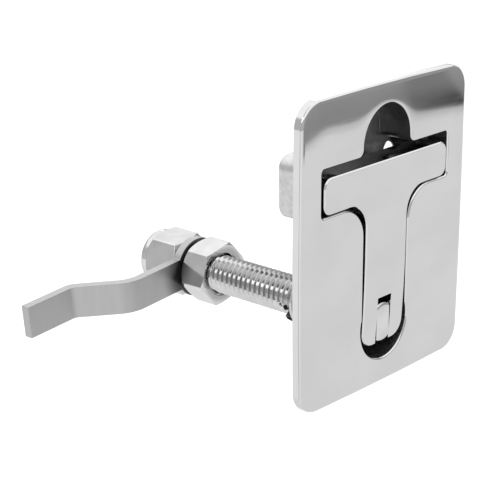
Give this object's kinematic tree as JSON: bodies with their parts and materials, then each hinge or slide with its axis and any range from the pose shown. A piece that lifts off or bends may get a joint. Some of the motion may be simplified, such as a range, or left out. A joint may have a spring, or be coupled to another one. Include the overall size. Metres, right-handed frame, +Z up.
{
  "type": "flush pull latch",
  "caption": "Flush-mounted pull latch: rectangular plate with a recessed folding T-handle, threaded spindle and a cranked cam arm held between nuts.",
  "frame": {"origin": "on the spindle axis, level with the back face of the plate, which lies on the panel", "axes": "+Z up along the handle towards its crossbar, +X right seen from the front, +Y along the spindle into the panel"},
  "size_m": [0.0973, 0.0936, 0.089],
  "materials": {
    "body_steel": "polished cast stainless steel",
    "handle_steel": "polished cast stainless steel",
    "spindle_steel": "machined stainless steel",
    "arm_steel": "satin stainless bar",
    "nut_steel": "polished stainless steel",
    "spring_steel": "stainless spring steel",
    "pin_steel": "black oxide",
    "seal_rubber": "matt",
    "bush_plastic": "acetal",
    "insert_plastic": "nylon"
  },
  "bodies": {
    "housing": {"flush_body": "body_steel", "spindle": "spindle_steel", "spindle_bush": "bush_plastic", "front_seal": "seal_rubber", "rear_seal": "seal_rubber", "front_spring_washer": "spring_steel", "rear_spring_washer": "spring_steel", "thrust_washer": "spring_steel", "retaining_pin": "pin_steel"},
    "handle": {"t_handle": "handle_steel", "pivot_pin": "spindle_steel"},
    "nuts": {"clamp_nut": "nut_steel", "lock_nut": "nut_steel", "lock_insert": "insert_plastic"},
    "cam": {"cam_arm": "arm_steel"}
  },
  "joints": [
    {"name": "handle_lift", "type": "hinge", "parent": "housing", "child": "handle", "pos_m": [0, 0.0015, 0], "axis": [1, 0, 0], "range_deg": [0, 90]},
    {"name": "grip_adjust", "type": "slide", "parent": "housing", "child": "nuts", "axis": [0, 1, 0], "range_m": [-0.025, 0]},
    {"name": "cam_turn", "type": "hinge", "parent": "nuts", "child": "cam", "pos_m": [0, 0, 0], "axis": [0, 1, 0], "range_deg": [-90, 90]}
  ]
}
